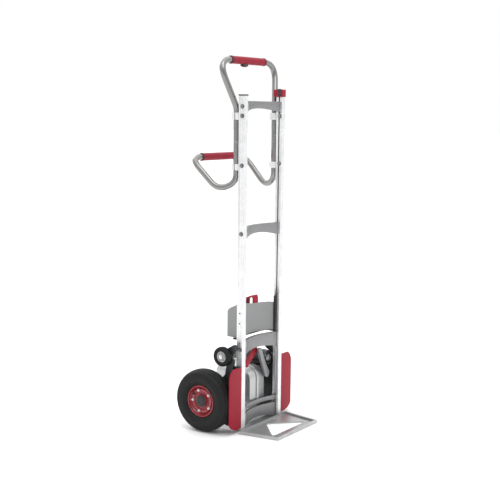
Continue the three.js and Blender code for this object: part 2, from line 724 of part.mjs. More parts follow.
const BUTTON_X = -22;
add(
  'button_housing',
  cut(
    block(BUTTON_X - 15, BUTTON_X + 15, UPPER_GRIP.y - 9, UPPER_GRIP.y + 9, UPPER_GRIP.z - 23, UPPER_GRIP.z - 13),
    rod('x', bore(GRIP_R), BUTTON_X - 20, BUTTON_X + 20, UPPER_GRIP.y, UPPER_GRIP.z),
    block(BUTTON_X - 11, BUTTON_X + 11, UPPER_GRIP.y - 6, UPPER_GRIP.y + 6, UPPER_GRIP.z - 24, UPPER_GRIP.z - 15),
  ),
  'black',
);
add(
  'run_button',
  block(BUTTON_X - 10, BUTTON_X + 10, UPPER_GRIP.y - 5, UPPER_GRIP.y + 5, UPPER_GRIP.z - 26, UPPER_GRIP.z - 19.4),
  'red',
);

const CAP_LIP = 0.8;
add(
  'right_rail_cap',
  block(-RAIL_OUT - CAP_LIP, -RAIL_IN + CAP_LIP, -CAP_LIP, RAIL_DEEP + CAP_LIP, RAIL_TOP + GAP, RAIL_TOP + 5),
  'black',
);
const HOUSING = { x0: RAIL_IN - 2, x1: RAIL_OUT + 2, y0: -2, y1: 44, z0: RAIL_TOP + GAP, z1: RAIL_TOP + 30 };
const ROCKER = { y: 21, z: HOUSING.z1 - 6, r: 9 };
add(
  'control_housing',
  cut(
    prism(roundedRect(HOUSING.x0, HOUSING.x1, HOUSING.y0, HOUSING.y1, 4), 'z', HOUSING.z0, HOUSING.z1, 3),
    block(HOUSING.x0 + 5, HOUSING.x1 - 5, ROCKER.y - 11, ROCKER.y + 11, HOUSING.z1 - 17, HOUSING.z1 + 1),
  ),
  'red',
);
add('climb_rocker', rod('x', ROCKER.r, HOUSING.x0 + 5.5, HOUSING.x1 - 5.5, ROCKER.y, ROCKER.z, 16), 'black');

const CABLE_R = 2.2;
const CABLE_X = RAIL_IN + CHANNEL.deep - CABLE_R - GAP;
const CABLE_FOOT = 118;
add(
  'control_cable',
  pipe(
    bentPath(
      [
        [CABLE_X, CHANNEL.y, RAIL_TOP],
        [CABLE_X, CHANNEL.y, GUIDE_TOP + 42],
        [CABLE_FOOT, CHANNEL.y, GUIDE_TOP + 24],
        [CABLE_FOOT, CHANNEL.y, GUIDE_TOP + GAP],
      ].map((p) => new THREE.Vector3(...p)),
      [8, 8],
    ),
    CABLE_R,
    18,
    8,
  ),
  'black',
);

add('axle', rod('x', AXLE_R, -AXLE_END, AXLE_END, AXLE_Y, AXLE_Z), 'steel');
add(
  'drive_sleeve',
  cut(
    rod('x', SLEEVE_R, -SLEEVE_END, SLEEVE_END, AXLE_Y, AXLE_Z),
    rod('x', bore(AXLE_R), -SLEEVE_END - 1, SLEEVE_END + 1, AXLE_Y, AXLE_Z),
  ),
  'steel',
);
add('gearbox_right_half', gearboxHalf(-80, GEARBOX.split - GAP / 2), 'plate');
add('gearbox_left_half', gearboxHalf(GEARBOX.split + GAP / 2, 120), 'plate');
add(
  'drive_gear',
  cut(
    prism(gearOutline(DRIVE_GEAR.teeth, AXLE_Y, AXLE_Z, 0), 'x', DRIVE_GEAR.x0, DRIVE_GEAR.x1),
    rod('x', SLEEVE_R + GAP, 0, 50, AXLE_Y, AXLE_Z),
  ),
  'steel',
);
add('layshaft', layshaft(), 'steel');
add('motor_rotor', motorRotor(), 'steel');
add(
  'motor_can',
  cut(
    rod('y', MOTOR_R, MOTOR_FRONT + 6, MOTOR_BACK, MOTOR_X, MOTOR_Z),
    rod('y', MOTOR_R - 3, MOTOR_FRONT, MOTOR_BACK - 5, MOTOR_X, MOTOR_Z),
    rod('y', 8, MOTOR_FRONT, MOTOR_BACK + 1, MOTOR_X, MOTOR_Z),
  ),
  'black',
);
add(
  'motor_end_cap',
  join(
    rod('y', MOTOR_R + 1, MOTOR_FRONT, MOTOR_FRONT + 5.7, MOTOR_X, MOTOR_Z),
    rod('y', 13, MOTOR_FRONT - 6, MOTOR_FRONT + 1, MOTOR_X, MOTOR_Z),
  ),
  'black',
);
add('worm_case', wormCase(), 'plate');

const bracket = join(
  link('y', 30, GEARBOX.y0 - GAP, [30, 306], [46, 271], [12, 11]),
  link('y', 30, GEARBOX.y0 - GAP, [46, 271], [64, 233], [11, 12]),
  link('y', 30, GEARBOX.y0 - GAP, [64, 233], [83, 197], [12, 16]),
);
add('gearbox_bracket', cut(bracket, gearboxSkin(5 + GAP)), 'cast');
const brace = new THREE.BoxGeometry(28, 8, 96);
brace.rotateX(0.12);
brace.rotateY(0.76);
brace.translate(-5, 56, 283);
add('gearbox_brace', toSolid(brace).subtract(gearboxSkin(5 + GAP)), 'red');

add('battery_case', cut(batteryBlock(0, BATTERY_FOOT), batteryBlock(BATTERY_WALL, BATTERY_FOOT - 5)), 'battery');
add('battery_cells', batteryBlock(BATTERY_WALL + 5, BATTERY_FOOT + 5), 'black');
add('battery_handle', batteryHandle(), 'red');

export default truck;
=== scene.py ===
import math

import bmesh
import bpy
from mathutils import Matrix, Vector


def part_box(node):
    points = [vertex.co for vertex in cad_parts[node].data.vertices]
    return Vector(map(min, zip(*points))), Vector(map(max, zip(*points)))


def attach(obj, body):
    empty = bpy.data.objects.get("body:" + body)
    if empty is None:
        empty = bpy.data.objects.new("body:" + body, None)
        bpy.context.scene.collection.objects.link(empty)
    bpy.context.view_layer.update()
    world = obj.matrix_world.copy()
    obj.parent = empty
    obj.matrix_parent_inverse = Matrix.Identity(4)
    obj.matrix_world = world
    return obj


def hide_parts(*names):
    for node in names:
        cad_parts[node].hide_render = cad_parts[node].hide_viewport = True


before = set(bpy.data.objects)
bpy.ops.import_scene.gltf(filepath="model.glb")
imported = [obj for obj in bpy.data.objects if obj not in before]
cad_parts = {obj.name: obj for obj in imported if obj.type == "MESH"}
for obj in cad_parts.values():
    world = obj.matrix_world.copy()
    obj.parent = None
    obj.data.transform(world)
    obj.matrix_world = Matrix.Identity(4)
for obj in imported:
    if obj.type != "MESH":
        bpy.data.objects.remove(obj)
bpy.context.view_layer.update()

SIDES = (("right", -1), ("left", 1))
MM = 0.001


def in_mm(pairs):
    """Pairs of millimetres as metres."""
    return [(a * MM, b * MM) for a, b in pairs]


# ---------------------------------------------------------------- camera and light
CAMERA_PLACE = (-3.45229, -2.38206, 1.30684)
CAMERA_HEADING = -55.09
CAMERA_DOWN = 7.71
CAMERA_ROLL = 0.62
AWAY_FROM_CAMERA = (0.82, 0.57, 0.0)
UP = (0.0, 0.0, 1.0)


def add_camera():
    data = bpy.data.cameras.new("camera")
    data.sensor_width = 36
    data.lens = 73.1
    camera = bpy.data.objects.new("camera", data)
    bpy.context.collection.objects.link(camera)
    heading = Matrix.Rotation(math.radians(CAMERA_HEADING), 4, "Z")
    tilt = Matrix.Rotation(math.radians(90 - CAMERA_DOWN), 4, "X")
    roll = Matrix.Rotation(math.radians(CAMERA_ROLL), 4, "Z")
    place = Matrix.Translation(CAMERA_PLACE)
    camera.matrix_world = place @ heading @ tilt @ roll
    bpy.context.scene.camera = camera


def add_light(name, place, aim, size, power):
    """A white softbox at a place, facing an aim."""
    data = bpy.data.lights.new(name, "AREA")
    data.shape = "RECTANGLE"
    data.size, data.size_y = size
    data.energy = power
    light = bpy.data.objects.new(name, data)
    bpy.context.collection.objects.link(light)
    way = Vector(aim) - Vector(place)
    turn = way.to_track_quat("-Z", "Y").to_matrix().to_4x4()
    light.matrix_world = Matrix.Translation(place) @ turn


def brightness_toward(tree, direction, start, end, low, high):
    """A world brightness that rises with how far a ray points along a direction."""
    way = tree.nodes.new("ShaderNodeTexCoord").outputs["Generated"]
    dot = tree.nodes.new("ShaderNodeVectorMath")
    dot.operation = "DOT_PRODUCT"
    dot.inputs[1].default_value = direction
    tree.links.new(way, dot.inputs[0])
    spread = tree.nodes.new("ShaderNodeMapRange")
    for key, value in (("From Min", start), ("From Max", end), ("To Min", low), ("To Max", high)):
        spread.inputs[key].default_value = value
    tree.links.new(dot.outputs["Value"], spread.inputs["Value"])
    return spread.outputs["Result"]


def add_studio():
    """White surroundings, darker on the camera's side and brighter overhead, with four soft lights."""
    world = bpy.data.worlds.new("studio")
    bpy.context.scene.world = world
    world.use_nodes = True
    tree = world.node_tree
    back = tree.nodes["Background"]
    back.inputs["Color"].default_value = (1.0, 1.0, 1.0, 1.0)
    total = tree.nodes.new("ShaderNodeMath")
    behind = brightness_toward(tree, AWAY_FROM_CAMERA, start=-0.75, end=0.55, low=0.5, high=1.0)
    overhead = brightness_toward(tree, UP, start=0.1, end=1.0, low=0.0, high=0.9)
    tree.links.new(behind, total.inputs[0])
    tree.links.new(overhead, total.inputs[1])
    tree.links.new(total.outputs["Value"], back.inputs["Strength"])
    bpy.context.scene.view_settings.view_transform = "Standard"
    add_light("key_light", (-3.4, 0.6, 2.2), (0, 0, 0.8), (0.7, 2.6), 5)
    add_light("top_light", (-1.0, -1.4, 3.8), (0, 0, 0.6), (2.2, 2.2), 30)
    add_light("fill_light", (1.6, -3.6, 1.6), (0, 0, 0.7), (1.0, 2.4), 3)
    add_light("rear_light", (1.5, 3.2, 3.0), (0, 0, 0.8), (2.0, 2.0), 30)


# ---------------------------------------------------------------- materials
class Nodes:
    """Short names for making and linking the nodes of one material."""

    def __init__(self, material):
        material.use_nodes = True
        self.tree = material.node_tree
        self.shader = self.tree.nodes["Principled BSDF"]

    def new(self, kind, **values):
        node = self.tree.nodes.new(kind)
        for key, value in values.items():
            if hasattr(node, key):
                setattr(node, key, value)
            else:
                node.inputs[key.replace("_", " ")].default_value = value
        return node

    def link(self, output, target):
        self.tree.links.new(output, target)

    def noise(self, source, scale, detail=4.0, rough=0.55):
        node = self.new("ShaderNodeTexNoise", Scale=scale, Detail=detail, Roughness=rough)
        self.link(source, node.inputs["Vector"])
        return node.outputs["Fac"]

    def ramp(self, source, stops):
        node = self.new("ShaderNodeValToRGB")
        points = node.color_ramp.elements
        while len(points) < len(stops):
            points.new(0.5)
        for point, (at, level) in zip(points, stops):
            point.position = at
            point.color = (level, level, level, 1.0)
        self.link(source, node.inputs["Fac"])
        return node.outputs["Color"]

    def blend(self, kind, amount, a, b):
        node = self.new("ShaderNodeMix", data_type="RGBA", blend_type=kind)
        for index, value in ((0, amount), (6, a), (7, b)):
            if isinstance(value, bpy.types.NodeSocket):
                self.link(value, node.inputs[index])
            elif isinstance(value, tuple):
                node.inputs[index].default_value = (*value, 1.0)
            else:
                node.inputs[index].default_value = value
        return node.outputs[2]

    def span(self, source, low, high):
        node = self.new("ShaderNodeMapRange", To_Min=low, To_Max=high)
        self.link(source, node.inputs["Value"])
        return node.outputs["Result"]


MADE = {}


def shade(colour, factor):
    return tuple(min(1.0, c * factor) for c in colour)


def finish(name, base, rough, metal=0.0, stretch=(1, 1, 1), grain=900.0, bump=0.12, vary=0.08,
           worn=None, wear=0.5, dust=None, swing=0.08, coat=0.0, specular=0.5):
    """A procedural material: broad tone variation, fine grain, smudged roughness, bump and worn edges."""
    material = bpy.data.materials.new(name)
    n = Nodes(material)
    place = n.new("ShaderNodeTexCoord").outputs["Object"]
    mapped = n.new("ShaderNodeMapping", Scale=stretch)
    n.link(place, mapped.inputs["Vector"])
    fine = n.noise(mapped.outputs["Vector"], grain, 3.0, 0.6)
    broad = n.noise(place, 7.0, 4.0)
    smudge = n.noise(place, 38.0, 7.0, 0.65)
    colour = n.blend("MIX", broad, shade(base, 1 - vary), shade(base, 1 + vary))
    speckle = n.span(fine, 1 - vary, 1 + vary)
    colour = n.blend("MULTIPLY", 1.0, colour, speckle)
    if dust:
        cover = n.ramp(smudge, ((0.45, 0.0), (0.8, 0.35)))
        colour = n.blend("MIX", cover, colour, dust)
    if worn:
        edge = n.ramp(n.new("ShaderNodeNewGeometry").outputs["Pointiness"], ((0.52, 0.0), (0.6, wear)))
        rubbed = n.ramp(smudge, ((0.4, 0.15), (0.62, 1.0)))
        colour = n.blend("MIX", n.blend("MULTIPLY", 1.0, edge, rubbed), colour, worn)
    n.link(colour, n.shader.inputs["Base Color"])
    n.link(n.span(smudge, rough - swing, rough + swing), n.shader.inputs["Roughness"])
    n.shader.inputs["Metallic"].default_value = metal
    n.shader.inputs["Coat Weight"].default_value = coat
    n.shader.inputs["Specular IOR Level"].default_value = specular
    height = n.blend("ADD", 0.35, fine, smudge)
    relief = n.new("ShaderNodeBump", Strength=bump, Distance=0.0006)
    n.link(height, relief.inputs["Height"])
    n.link(relief.outputs["Normal"], n.shader.inputs["Normal"])
    MADE[name] = material


def make_materials():
    long_grain = (1.0, 1.0, 0.02)
    cross_grain = (0.03, 1.0, 1.0)
    white_metal = (0.93, 0.94, 0.95)
    bare = (0.78, 0.79, 0.8)
    finish("rail", (0.69, 0.695, 0.70), 0.34, 0.7, long_grain, 1200, 0.05, 0.03, white_metal, 0.5)
    finish("clamp", (0.70, 0.70, 0.70), 0.5, 0.3, grain=700, bump=0.2, vary=0.03,
           worn=white_metal, wear=0.4)
    finish("cast", (0.25, 0.25, 0.255), 0.44, 0.75, grain=650, bump=0.35, vary=0.1, worn=bare, wear=0.6)
    finish("plate", (0.40, 0.405, 0.41), 0.38, 0.8, cross_grain, 900, 0.14, 0.09, bare, 0.6)
    finish("gearbox", (0.50, 0.51, 0.51), 0.38, 0.8, grain=520, bump=0.35, vary=0.08,
           worn=white_metal, wear=0.6)
    finish("tube", (0.26, 0.257, 0.253), 0.2, 0.95, grain=500, bump=0.02, vary=0.04,
           worn=bare, wear=0.3, swing=0.05)
    finish("steel", (0.50, 0.51, 0.52), 0.28, 1.0, grain=800, bump=0.08, vary=0.06,
           worn=white_metal, wear=0.4)
    finish("arm", (0.035, 0.037, 0.04), 0.42, 0.3, grain=500, bump=0.3, vary=0.15,
           worn=(0.2, 0.21, 0.22))
    finish("red", (0.29, 0.009, 0.024), 0.42, grain=700, bump=0.15, vary=0.06,
           worn=(0.5, 0.06, 0.075), wear=0.5, specular=0.2)
    finish("grip", (0.26, 0.008, 0.024), 0.5, grain=420, bump=0.4, vary=0.08,
           dust=(0.32, 0.025, 0.04), specular=0.2)
    finish("grip_end", (0.14, 0.014, 0.018), 0.55, grain=420, bump=0.4, vary=0.1)
    finish("rim", (0.22, 0.009, 0.018), 0.3, 0.1, grain=600, bump=0.12, vary=0.1,
           worn=(0.5, 0.07, 0.08), wear=0.6, coat=0.3)
    finish("black", (0.012, 0.0125, 0.013), 0.45, grain=800, bump=0.3, vary=0.15,
           worn=(0.09, 0.09, 0.095))
    finish("tyre", (0.004, 0.0045, 0.0045), 0.6, grain=380, bump=0.5, vary=0.25,
           worn=(0.02, 0.021, 0.021), wear=0.5, dust=(0.012, 0.013, 0.013), specular=0.3)
    finish("battery", (0.25, 0.252, 0.255), 0.5, grain=1100, bump=0.3, vary=0.04,
           worn=(0.42, 0.42, 0.43))
    finish("hub", (0.50, 0.505, 0.51), 0.5, 0.1, grain=900, bump=0.25, vary=0.06,
           worn=(0.75, 0.75, 0.76))
    finish("brass", (0.56, 0.40, 0.16), 0.32, 1.0, grain=800, bump=0.1, vary=0.08)
    finish("motor", (0.02, 0.021, 0.023), 0.36, 0.4, grain=500, bump=0.25, vary=0.12,
           worn=(0.3, 0.3, 0.31))
    finish("black_steel", (0.016, 0.017, 0.019), 0.42, 0.35, grain=450, bump=0.3, vary=0.15,
           worn=(0.16, 0.16, 0.17), wear=0.4)
    finish("dark_steel", (0.12, 0.122, 0.125), 0.35, 0.9, grain=600, bump=0.2, vary=0.1,
           worn=bare, wear=0.3)
    finish("floor", (0.93, 0.93, 0.93), 0.8, grain=30, bump=0.0, vary=0.004, specular=0.2)


# ---------------------------------------------------------------- mesh tools
def loft(bm, rings, loop=False):
    """Joins rings of equally many points by quads, and caps both ends unless the rings form a loop."""
    made = [[bm.verts.new(point) for point in ring] for ring in rings]
    count = len(made[0])
    pairs = list(zip(made, made[1:]))
    if loop:
        pairs.append((made[-1], made[0]))
    for a, b in pairs:
        for i in range(count):
            j = (i + 1) % count
            bm.faces.new((a[i], a[j], b[j], b[i]))
    if not loop:
        bm.faces.new(list(reversed(made[0])))
        bm.faces.new(made[-1])


def frame_of(way):
    """Two directions square to a way."""
    way = way.normalized()
    side = way.cross(Vector((0, 0, 1)))
    if side.length < 0.1:
        side = way.cross(Vector((0, 1, 0)))
    side.normalize()
    return side, side.cross(way)


def ring(centre, side, up, radius, count):
    points = []
    for i in range(count):
        a = 2 * math.pi * i / count
        points.append(centre + radius * (math.cos(a) * side + math.sin(a) * up))
    return points


def revolve(bm, base, way, profile, count, loop=False):
    """Turns a list of (distance along the way, radius) round an axis."""
    way = Vector(way).normalized()
    side, up = frame_of(way)
    least = 1e-5
    rings = [ring(Vector(base) + way * t, side, up, max(r, least), count) for t, r in profile]
    loft(bm, rings, loop)


def sweep(bm, path, radius, count=28):
    """A round tube along points, with a flat face at each end."""
    rings = []
    way = (path[1] - path[0]).normalized()
    side, up = frame_of(way)
    for i, point in enumerate(path):
        ahead = path[min(i + 1, len(path) - 1)]
        behind = path[max(i - 1, 0)]
        new = (ahead - behind).normalized()
        turn = way.rotation_difference(new)
        side = turn @ side
        up = turn @ up
        way = new
        rings.append(ring(point, side, up, radius, count))
    loft(bm, rings)


def rounded_line(corners, trims, step=0.006):
    """Points along a line whose corners are rounded, starting trim before and ending trim after each."""
    corners = [Vector(c) for c in corners]
    points = [corners[0]]

    def run(a, b):
        count = max(1, round((b - a).length / step))
        points.extend(a.lerp(b, (i + 1) / count) for i in range(count))

    for corner, last, nxt, trim in zip(corners[1:], corners, corners[2:], trims):
        before = corner + (last - corner).normalized() * trim
        after = corner + (nxt - corner).normalized() * trim
        run(points[-1], before)
        for i in range(1, 15):
            t = i / 14
            points.append(before.lerp(corner, t).lerp(corner.lerp(after, t), t))
    run(points[-1], corners[-1])
    return points


def box(bm, low, high, bevel):
    """A box with rounded edges."""
    low, high = Vector(low), Vector(high)
    place = Matrix.Translation((low + high) / 2) @ Matrix.Diagonal((*(high - low), 1))
    made = bmesh.ops.create_cube(bm, size=1, matrix=place)
    edges = list({edge for vert in made["verts"] for edge in vert.link_edges})
    bmesh.ops.bevel(bm, geom=edges, offset=bevel, segments=2, profile=0.5, affect="EDGES")


def extrude(bm, outline, axis, start, end):
    """A flat outline pushed along x, y or z. The outline holds the two other coordinates in order."""
    def point(u, v, t):
        return {"x": (t, u, v), "y": (u, t, v), "z": (u, v, t)}[axis]

    loft(bm, [[point(u, v, start) for u, v in outline], [point(u, v, end) for u, v in outline]])


def round_rect(u0, u1, v0, v1, r, steps=5):
    """Points of a rectangle with round corners, from the lower right corner round."""
    corners = ((u1 - r, v0 + r, -90), (u1 - r, v1 - r, 0), (u0 + r, v1 - r, 90), (u0 + r, v0 + r, 180))
    points = []
    for cu, cv, start in corners:
        for i in range(steps + 1):
            a = math.radians(start + 90 * i / steps)
            points.append((cu + r * math.cos(a), cv + r * math.sin(a)))
    return points


def bolt(bm, base, way, radius=0.0065, height=0.0055, washer=0.0014):
    """A hexagon head on a washer."""
    way = Vector(way).normalized()
    disc = ((0, radius * 1.05), (0, radius * 1.42), (washer * 0.8, radius * 1.42), (washer, radius * 1.35),
            (washer, radius * 1.0))
    revolve(bm, base, way, disc, 32)
    top = washer + height
    head = ((washer * 0.9, radius), (washer, radius * 1.08), (top - 0.0009, radius * 1.12),
            (top, radius * 0.96))
    revolve(bm, base, way, head, 6)


def socket_screw(bm, base, way, radius=0.005, height=0.0035):
    """A round head with a six-sided recess."""
    way = Vector(way).normalized()
    side, up = frame_of(way)
    count = 24
    base = Vector(base)

    def hexagon(r, t):
        points = []
        for i in range(count):
            a = 2 * math.pi * i / count
            flat = math.cos(math.pi / 6) / math.cos((a % (math.pi / 3)) - math.pi / 6)
            points.append(base + way * t + r * flat * (math.cos(a) * side + math.sin(a) * up))
        return points

    head = ((0, radius), (height * 0.7, radius), (height * 0.93, radius * 0.93), (height, radius * 0.8))
    rings = [ring(base + way * t, side, up, r, count) for t, r in head]
    rings.append(hexagon(radius * 0.55, height))
    rings.append(hexagon(radius * 0.5, height * 0.3))
    loft(bm, rings)


def piece(name, bm, material, body, replaces=(), sharp=38):
    """Turns a built mesh into an object that rides on a body."""
    bmesh.ops.recalc_face_normals(bm, faces=bm.faces)
    mesh = bpy.data.meshes.new(name)
    bm.to_mesh(mesh)
    bm.free()
    mesh.polygons.foreach_set("use_smooth", [True] * len(mesh.polygons))
    mesh.set_sharp_from_angle(angle=math.radians(sharp))
    mesh.materials.append(MADE[material])
    made = bpy.data.objects.new(name, mesh)
    bpy.context.collection.objects.link(made)
    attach(made, body)
    if replaces:
        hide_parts(*replaces)


def refine(node, material, body, width, segments=2):
    """Stands for a CAD node: its own mesh as clean flat faces with rounded edges."""
    bm = bmesh.new()
    bm.from_mesh(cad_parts[node].data)
    bmesh.ops.remove_doubles(bm, verts=bm.verts, dist=2e-5)
    bmesh.ops.dissolve_limit(bm, angle_limit=math.radians(1.2), verts=bm.verts, edges=bm.edges)
    least = math.radians(28)
    edges = [e for e in bm.edges if len(e.link_faces) == 2 and e.calc_face_angle(0) > least]
    bmesh.ops.bevel(bm, geom=edges, offset=width, segments=segments, profile=0.6, affect="EDGES",
                    clamp_overlap=True)
    piece(node + "_shape", bm, material, body, (node,))


def dress(material, *nodes):
    """Gives CAD nodes that stay their material."""
    for node in nodes:
        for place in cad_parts[node].material_slots:
            place.material = MADE[material]


def middle(node):
    low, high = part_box(node)
    return (low + high) / 2


# ---------------------------------------------------------------- frame pieces
CLAMP_BOLTS = (1.2935, 1.0958)
RAIL_BOLTS = (1.3308, *CLAMP_BOLTS, 0.8209, 0.3451)
RAIL_SCREWS = (0.4965, 0.4542, 0.3718)
RAIL_WALL = 2.6 * MM
RAIL_CENTRE = (0.0125, 0.0146)
RAIL_GROOVES = ((9.5, 0.7, 0.6), (19.8, 0.7, 0.6))
CHANNEL_AT = 14 * MM
CHANNEL_HALF = 3 * MM
CHANNEL_DEEP = 5.4 * MM


def rail_section(width, deep):
    """Outline of a rail from its inner face: two fine grooves outside and the cable's channel inside."""
    points = round_rect(0, width, 0, deep, 2.2 * MM)
    result = []
    for i, a in enumerate(points):
        b = points[(i + 1) % len(points)]
        result.append(a)
        if abs(a[0] - b[0]) > 1e-6:
            continue
        if a[0] > width / 2 and b[1] > a[1] + deep / 3:
            for place, depth, half in RAIL_GROOVES:
                at, sunk, reach = place * MM, depth * MM, half * MM
                result.extend(((a[0], at - reach), (a[0] - sunk, at - reach * 0.5),
                               (a[0] - sunk, at + reach * 0.5), (a[0], at + reach)))
        if a[0] < width / 2 and b[1] < a[1] - deep / 3:
            result.extend(((0, CHANNEL_AT + CHANNEL_HALF), (CHANNEL_DEEP, CHANNEL_AT + CHANNEL_HALF),
                           (CHANNEL_DEEP, CHANNEL_AT - CHANNEL_HALF), (0, CHANNEL_AT - CHANNEL_HALF)))
    return result


def make_rails():
    shrink = 0.05
    ease = 0.8 * MM
    for name, side in SIDES:
        low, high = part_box(f"{name}_rail")
        inner = high.x if side < 0 else low.x
        outer = low.x if side < 0 else high.x

        def placed(points, z):
            return [Vector((inner + side * u, low.y + v, z)) for u, v in points]

        skin = rail_section(abs(outer - inner), high.y - low.y)
        core_u, core_v = RAIL_CENTRE
        small = [(u + (core_u - u) * shrink, v + (core_v - v) * shrink) for u, v in skin]
        bm = bmesh.new()
        loft(bm, [placed(small, low.z), placed(skin, low.z + ease), placed(skin, high.z - ease),
                  placed(small, high.z)])
        caps = [face for face in bm.faces if len(face.verts) > 8]
        for cap in caps:
            bmesh.ops.inset_region(bm, faces=[cap], thickness=RAIL_WALL * 0.7, use_even_offset=True)
            depth = 12 * MM if cap.calc_center_median().z < 0.5 else -4 * MM
            bmesh.ops.translate(bm, verts=cap.verts, vec=(0, 0, depth))
        piece(f"{name}_rail_extrusion", bm, "rail", "frame", (f"{name}_rail",))

        bm = bmesh.new()
        bolt_y = low.y + 10.7 * MM
        screw_y = low.y + 14 * MM
        outward = Vector((side, 0, 0))
        for z in RAIL_BOLTS:
            bolt(bm, (outer, bolt_y, z), outward)
        for z in RAIL_SCREWS:
            socket_screw(bm, (outer, screw_y, z), outward, 3.2 * MM, 1.6 * MM)
        for z in CLAMP_BOLTS:
            bolt(bm, (inner, bolt_y, z), -outward)
        piece(f"{name}_rail_bolts", bm, "dark_steel", "frame")


def make_fittings():
    for bar in ("upper_crossbar", "middle_crossbar", "lower_crossbar", "base_crossbar"):
        refine(bar, "cast", "frame", 1.4 * MM)
    refine("toe_plate", "plate", "frame", 1.2 * MM)
    refine("right_rail_cap", "black", "frame", 0.9 * MM)
    refine("gearbox_bracket", "cast", "frame", 1.6 * MM)
    refine("gearbox_brace", "red", "frame", 1.2 * MM)
    for name, _ in SIDES:
        refine(f"{name}_guard", "red", "frame", 2.8 * MM, 4)
        refine(f"{name}_axle_plate", "black_steel", "frame", 1.2 * MM)
        refine(f"{name}_battery_guide", "black", "frame", 1.0 * MM)
        for level in ("upper", "lower"):
            refine(f"{name}_{level}_clamp", "clamp", "frame", 1.8 * MM, 3)


# ---------------------------------------------------------------- handles
TUBE_R = 12.5 * MM
TUBE_X = 136 * MM
GRIP_R = 15.5 * MM
GRIP_BORE = 12.6 * MM


def handle_loop(name, half, trims):
    """A bent tube through the corners of its left half, from the grip down, and their mirror images."""
    other = [(-x, y, z) for x, y, z in reversed(half)]
    bm = bmesh.new()
    sweep(bm, rounded_line([*other, *half], [*reversed(trims), *trims]), TUBE_R)
    piece(f"{name}_loop", bm, "tube", "frame", (f"{name}_tube",))


def make_handles():
    low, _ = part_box("upper_handle_tube")
    tube_y = low.y + TUBE_R
    join = (TUBE_X, tube_y, low.z)
    upper = middle("upper_grip")
    lower = middle("lower_grip")
    bend_y = tube_y + 63.1 * MM
    upper_half = ((0.205, upper.y, upper.z), (TUBE_X, tube_y, 1.325), join)
    lower_half = ((0.190, lower.y, lower.z), (0.1709, bend_y, 0.9933), (TUBE_X, tube_y, 1.0303), join)
    handle_loop("upper_handle", upper_half, (0.088, 0.018))
    handle_loop("lower_handle", lower_half, (0.065, 0.048, 0.0305))

    for level, at in (("upper", upper), ("lower", lower)):
        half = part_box(f"{level}_grip")[1].x
        r = GRIP_R
        bore = GRIP_BORE
        bm = bmesh.new()
        profile = [(-half + 7 * MM, bore), (-half + 7 * MM, r - 0.4 * MM)]
        steps = 24
        for i in range(steps + 1):
            t = -1 + 2 * i / steps
            profile.append((t * (half - 8 * MM), r + 0.25 * MM * (1 - t * t)))
        profile.extend(((half - 7 * MM, r - 0.4 * MM), (half - 7 * MM, bore)))
        revolve(bm, (0, at.y, at.z), (1, 0, 0), profile, 72, loop=True)
        piece(f"{level}_grip_sleeve", bm, "grip", "frame", (f"{level}_grip",))
        bm = bmesh.new()
        for side in (-1, 1):
            collar = ((0, bore), (0, r - 0.6 * MM), (0.8 * MM, r + 0.8 * MM), (2.8 * MM, r + 1.0 * MM),
                      (3.4 * MM, r + 0.3 * MM), (4.2 * MM, r + 0.3 * MM), (4.8 * MM, r + 1.0 * MM),
                      (7.4 * MM, r + 0.9 * MM), (8.0 * MM, r + 0.2 * MM), (8.0 * MM, bore))
            base = (side * half, at.y, at.z)
            revolve(bm, base, (-side, 0, 0), collar, 72, loop=True)
        piece(f"{level}_grip_collars", bm, "grip_end", "frame")


# ---------------------------------------------------------------- wheels
def smooth_curve(points, steps):
    """A curve through points, sampled evenly between each pair."""
    result = []
    for i in range(len(points) - 1):
        p0 = Vector(points[max(i - 1, 0)])
        p1 = Vector(points[i])
        p2 = Vector(points[i + 1])
        p3 = Vector(points[min(i + 2, len(points) - 1)])
        for k in range(steps):
            t = k / steps
            result.append(0.5 * (2 * p1 + (p2 - p0) * t + (2 * p0 - 5 * p1 + 4 * p2 - p3) * t * t
                                 + (3 * p1 - p0 - 3 * p2 + p3) * t * t * t))
    result.append(Vector(points[-1]))
    return result


TREAD_GROOVES = (-0.6, -0.36, -0.12, 0.12, 0.36, 0.6)
GROOVE_DEEP = 2.8 * MM
GROOVE_EDGE_DEEP = 1.0 * MM
WALL_RIDGES = (0.885, 0.845, 0.805, 0.62)
RIDGE_HIGH = 1.0 * MM


def tyre_profile(half, radius, seat):
    """Section of a ribbed tyre as (distance from its middle plane, radius), from bead to bead."""
    outer = [(-0.68 * half, seat), (-0.93 * half, seat + 0.18 * (radius - seat)), (-half, 0.73 * radius),
             (-0.93 * half, 0.862 * radius), (-0.73 * half, 0.946 * radius), (-0.39 * half, 0.988 * radius),
             (0, radius)]
    outer += [(-x, r) for x, r in reversed(outer[:-1])]
    profile = []
    for x, r in smooth_curve(outer, 16):
        depth = 0.0
        for at in TREAD_GROOVES:
            near = abs(x / half - at)
            if near < 0.035:
                depth = GROOVE_DEEP
            elif near < 0.05:
                depth = GROOVE_EDGE_DEEP
        ridge = 0.0
        for at in WALL_RIDGES:
            if abs(r / radius - at) < 0.009:
                ridge = RIDGE_HIGH
        r = min(r, radius)
        sign = 1 if x > 0 else -1
        if abs(x) > 0.75 * half:
            profile.append((x - sign * ridge, r))
        else:
            profile.append((x, r - depth))
    return profile


